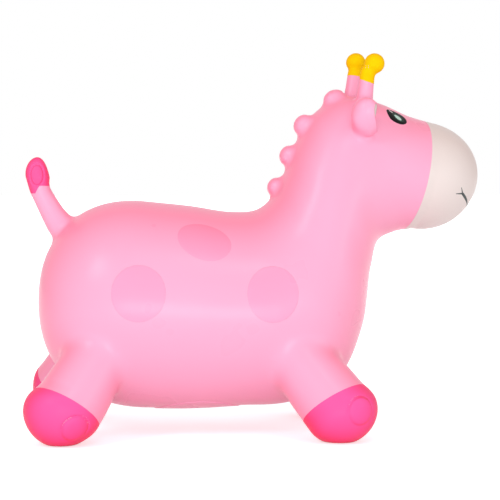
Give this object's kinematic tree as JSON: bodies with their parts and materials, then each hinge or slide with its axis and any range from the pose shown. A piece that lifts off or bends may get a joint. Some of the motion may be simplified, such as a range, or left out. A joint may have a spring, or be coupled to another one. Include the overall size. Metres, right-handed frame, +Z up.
{
  "type": "giraffe hopper",
  "caption": "Soft air-filled giraffe that a small child sits on and bounces, with stub legs, a neck to hug, knobbed horns, a scalloped mane and an air plug under its belly.",
  "frame": {"origin": "on the floor, under the middle of the overall length and between the left and right hooves", "axes": "+X the way the giraffe walks, +Y its left side, +Z up"},
  "size_m": [0.5452, 0.2788, 0.4542],
  "materials": {
    "skin": "semi-gloss pale pink soft PVC",
    "hoof": "semi-gloss magenta paint on soft PVC",
    "tuft": "semi-gloss magenta paint on soft PVC",
    "knob": "semi-gloss yellow paint on soft PVC",
    "cream": "semi-gloss cream paint on soft PVC",
    "spot": "thin darker pink print",
    "eye": "glossy black print",
    "glint": "pale print",
    "line": "dark grey print",
    "plug": "satin white plastic"
  },
  "bodies": {
    "hopper": {"barrel_skin": "skin", "neck_skin": "skin", "head_skin": "skin", "tail_skin": "skin", "valve_pad": "skin", "mane_1": "skin", "mane_2": "skin", "mane_3": "skin", "mane_4": "skin", "muzzle_skin": "cream", "tail_tuft": "tuft", "leg_front_left": "skin", "hoof_front_left": "hoof", "leg_rear_left": "skin", "hoof_rear_left": "hoof", "horn_left": "skin", "horn_knob_left": "knob", "ear_left": "skin", "ear_lining_left": "cream", "spot_rear_left": "spot", "spot_back_left": "spot", "spot_front_left": "spot", "eye_left": "eye", "eye_glint_left": "glint", "leg_front_right": "skin", "hoof_front_right": "hoof", "leg_rear_right": "skin", "hoof_rear_right": "hoof", "horn_right": "skin", "horn_knob_right": "knob", "ear_right": "skin", "ear_lining_right": "cream", "spot_rear_right": "spot", "spot_back_right": "spot", "spot_front_right": "spot", "eye_right": "eye", "eye_glint_right": "glint", "smile": "line"},
    "plug": {"air_plug": "plug"}
  },
  "joints": [
    {"name": "plug_pull", "type": "slide", "parent": "hopper", "child": "plug", "axis": [0, 0, -1], "range_m": [0, 0.019]}
  ]
}
